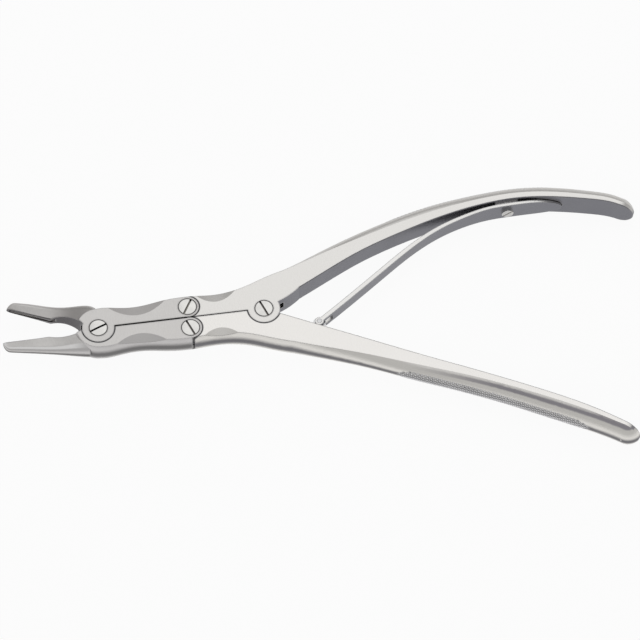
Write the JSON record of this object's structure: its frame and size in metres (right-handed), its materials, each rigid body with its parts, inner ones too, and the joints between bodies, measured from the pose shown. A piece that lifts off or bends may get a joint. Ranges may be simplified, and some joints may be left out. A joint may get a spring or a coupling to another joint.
{
  "type": "bone rongeur",
  "caption": "Double-action bone rongeur: scooped cup jaws on a four-bar joint box, curved handles held open by a leaf spring with a roller.",
  "frame": {"origin": "on the handle pivot's axis, in the plane of the joint box's flat back face", "axes": "+X from the jaws to the grips along the line through the two main pivots, +Y from the lower handle to the upper handle, +Z out of the front face, where the screw heads are"},
  "size_m": [0.1838, 0.086, 0.0086],
  "materials": {
    "lever_steel": "satin, bead-blasted",
    "screw_steel": "polished",
    "spring_steel": "satin",
    "roller_steel": "turned, polished"
  },
  "bodies": {
    "lower_handle": {"lower_handle": "lever_steel"},
    "upper_handle": {"upper_handle": "lever_steel", "handle_screw": "screw_steel", "spring_screw": "screw_steel"},
    "leaf": {"leaf_spring": "spring_steel"},
    "lower_jaw": {"lower_jaw": "lever_steel", "lower_link_screw": "screw_steel"},
    "upper_jaw": {"upper_jaw": "lever_steel", "jaw_screw": "screw_steel", "upper_link_screw": "screw_steel"},
    "roller_pin": {"roller_pin": "roller_steel"},
    "roller": {"roller": "roller_steel"}
  },
  "joints": [
    {"name": "handle_close", "type": "hinge", "parent": "lower_handle", "child": "upper_handle", "pos_m": [0, 0, 0], "axis": [0, 0, -1], "range_deg": [0, 27.96], "stiffness_Nm_per_rad": 0.8, "springref_deg": -17.19, "deforming": ["leaf_spring"]},
    {"name": "lower_link_turn", "type": "hinge", "parent": "lower_handle", "child": "lower_jaw", "pos_m": [-0.0215, -0.00345, 0], "axis": [0, 0, -1], "range_deg": [0, 25.44]},
    {"name": "jaw_close", "type": "hinge", "parent": "lower_jaw", "child": "upper_jaw", "pos_m": [-0.0475, 0, 0], "axis": [0, 0, 1], "range_deg": [0, 22.91]},
    {"name": "leaf_flex", "type": "hinge", "parent": "upper_handle", "child": "leaf", "pos_m": [0.0615, 0.023, 0], "axis": [0, 0, -1], "range_deg": [0, 9.02]},
    {"name": "roller_run", "type": "slide", "parent": "lower_handle", "child": "roller_pin", "axis": [-0.8965, 0.4431, 0], "range_m": [0, 0.00468]},
    {"name": "roller_spin", "type": "hinge", "parent": "roller_pin", "child": "roller", "pos_m": [0.01516, -0.00545, 0], "axis": [0, 0, 1], "continuous": true}
  ],
  "couplings": [
    {"joint": "lower_link_turn", "follows": "handle_close", "ratio": 0.90944},
    {"joint": "jaw_close", "follows": "handle_close", "ratio": 0.81889},
    {"joint": "roller_run", "follows": "handle_close", "m_per_rad": 0.0095681},
    {"joint": "leaf_flex", "follows": "handle_close", "ratio": 0.32211}
  ]
}
